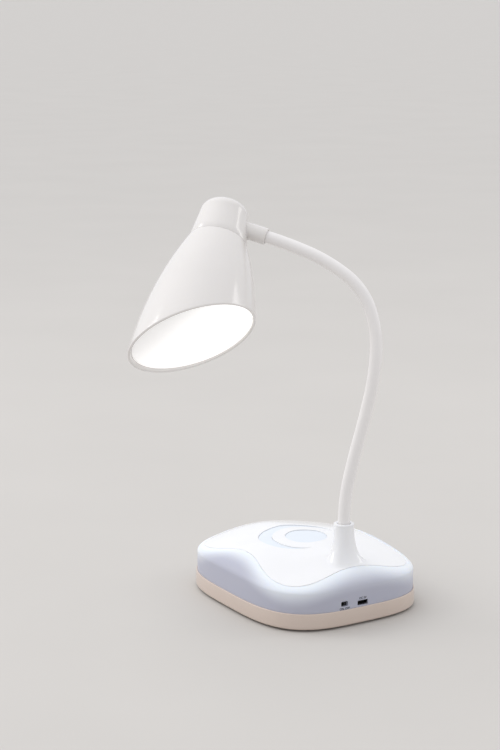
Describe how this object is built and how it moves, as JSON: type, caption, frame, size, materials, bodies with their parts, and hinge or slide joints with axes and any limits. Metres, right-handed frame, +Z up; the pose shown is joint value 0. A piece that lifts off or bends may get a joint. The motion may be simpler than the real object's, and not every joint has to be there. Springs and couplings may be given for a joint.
{
  "type": "cordless gooseneck desk lamp",
  "caption": "Cordless desk lamp with a bendable neck, a swivelling bell-shaped head with a slanted mouth, and a rounded base with a frosted night-light ring and touch pad.",
  "frame": {"origin": "middle of the base, on the face of the middle rubber foot", "axes": "+Z up, -Y to the front of the base, +Y to the back with the neck's foot, the switch and the charging socket, +X to the side that the neck leans over"},
  "size_m": [0.202, 0.143, 0.2708],
  "materials": {
    "pan_plastic": "satin",
    "foot_rubber": "matt",
    "screw_steel": "zinc plated",
    "ballast_steel": "plain",
    "cell_wrap": "shrink-wrapped",
    "cradle_plastic": "moulded",
    "board_green": "solder mask",
    "board_white": "solder mask",
    "socket_metal": "plated",
    "knob_plastic": "moulded",
    "led_lens": "clear resin",
    "ring_frosted": "frosted, translucent",
    "cover_white": "glossy",
    "pad_blue": "glossy",
    "chip_black": "moulded",
    "spring_brass": "gold plated",
    "lead_red": "insulated",
    "lead_white": "insulated",
    "ferrule_brass": "turned",
    "neck_white": "silicone sleeve, satin",
    "core_steel": "wound steel",
    "head_plastic": "glossy",
    "tray_white": "reflective white",
    "plate_aluminium": "plain",
    "diffuser_opal": "opal, lit"
  },
  "bodies": {
    "base": {"base_pan": "pan_plastic", "rubber_feet": "foot_rubber", "case_screws": "screw_steel", "ballast_plate": "ballast_steel", "ballast_screws": "screw_steel", "battery_cell": "cell_wrap", "battery_cradle": "cradle_plastic", "port_board": "board_green", "usb_socket": "socket_metal", "switch_body": "socket_metal", "port_screws": "screw_steel", "glow_board": "board_white", "glow_leds": "led_lens", "glow_screws": "screw_steel", "light_ring": "ring_frosted", "top_cover": "cover_white", "touch_pad": "pad_blue", "crescent_inlay": "pad_blue", "main_board": "board_green", "main_chips": "chip_black", "board_screws": "screw_steel", "touch_spring": "spring_brass", "battery_leads": "lead_red", "port_leads": "lead_white", "neck_ferrule": "ferrule_brass", "neck_washer": "screw_steel", "neck_locknut": "ferrule_brass", "neck_sleeve_0": "neck_white", "neck_core_0": "core_steel"},
    "switch": {"switch_knob": "knob_plastic"},
    "neck_1": {"neck_sleeve_1": "neck_white", "neck_core_1": "core_steel"},
    "neck_2": {"neck_sleeve_2": "neck_white", "neck_core_2": "core_steel"},
    "neck_3": {"neck_sleeve_3": "neck_white", "neck_core_3": "core_steel"},
    "neck_4": {"neck_sleeve_4": "neck_white", "neck_core_4": "core_steel"},
    "neck_5": {"neck_sleeve_5": "neck_white", "neck_core_5": "core_steel"},
    "neck_6": {"neck_sleeve_6": "neck_white", "neck_core_6": "core_steel"},
    "neck_7": {"neck_sleeve_7": "neck_white", "neck_core_7": "core_steel"},
    "neck_8": {"neck_sleeve_8": "neck_white", "neck_core_8": "core_steel", "end_ferrule": "ferrule_brass", "swivel_washer": "ferrule_brass", "swivel_clip": "screw_steel"},
    "head": {"head_cap": "head_plastic", "head_shade": "head_plastic", "reflector_tray": "tray_white", "led_plate": "plate_aluminium", "led_chips": "led_lens", "led_screws": "screw_steel", "head_screws": "screw_steel", "diffuser": "diffuser_opal", "head_leads": "lead_red"}
  },
  "joints": [
    {"name": "neck_bend_1", "type": "hinge", "parent": "base", "child": "neck_1", "pos_m": [0, 0.047, 0.063], "axis": [0.7071, 0.7071, 0], "range_deg": [-20, 20]},
    {"name": "neck_sway_2", "type": "hinge", "parent": "neck_1", "child": "neck_2", "pos_m": [-0.00199, 0.04899, 0.09091], "axis": [-0.6929, 0.6929, -0.1994], "range_deg": [-20, 20]},
    {"name": "neck_bend_3", "type": "hinge", "parent": "neck_2", "child": "neck_3", "pos_m": [-0.00646, 0.05346, 0.11829], "axis": [0.7071, 0.7071, 0], "range_deg": [-20, 20]},
    {"name": "neck_sway_4", "type": "hinge", "parent": "neck_3", "child": "neck_4", "pos_m": [-0.01101, 0.05801, 0.14564], "axis": [-0.6917, 0.6917, -0.2079], "range_deg": [-20, 20]},
    {"name": "neck_bend_5", "type": "hinge", "parent": "neck_4", "child": "neck_5", "pos_m": [-0.0136, 0.0606, 0.17347], "axis": [0.7071, 0.7071, 0], "range_deg": [-20, 20]},
    {"name": "neck_sway_6", "type": "hinge", "parent": "neck_5", "child": "neck_6", "pos_m": [-0.01102, 0.05802, 0.20117], "axis": [-0.6725, 0.6725, 0.309], "range_deg": [-20, 20]},
    {"name": "neck_bend_7", "type": "hinge", "parent": "neck_6", "child": "neck_7", "pos_m": [0.0004, 0.0466, 0.22362], "axis": [0.7071, 0.7071, 0], "range_deg": [-20, 20]},
    {"name": "neck_sway_8", "type": "hinge", "parent": "neck_7", "child": "neck_8", "pos_m": [0.01773, 0.02927, 0.2372], "axis": [-0.2592, 0.2592, 0.9304], "range_deg": [-20, 20]},
    {"name": "head_swivel", "type": "hinge", "parent": "neck_8", "child": "head", "pos_m": [0.03657, 0.01043, 0.24611], "axis": [0.6814, -0.6814, 0.2672], "range_deg": [-90, 60]},
    {"name": "switch_slide", "type": "slide", "parent": "base", "child": "switch", "axis": [-1, 0, 0], "range_m": [0, 0.002]}
  ]
}
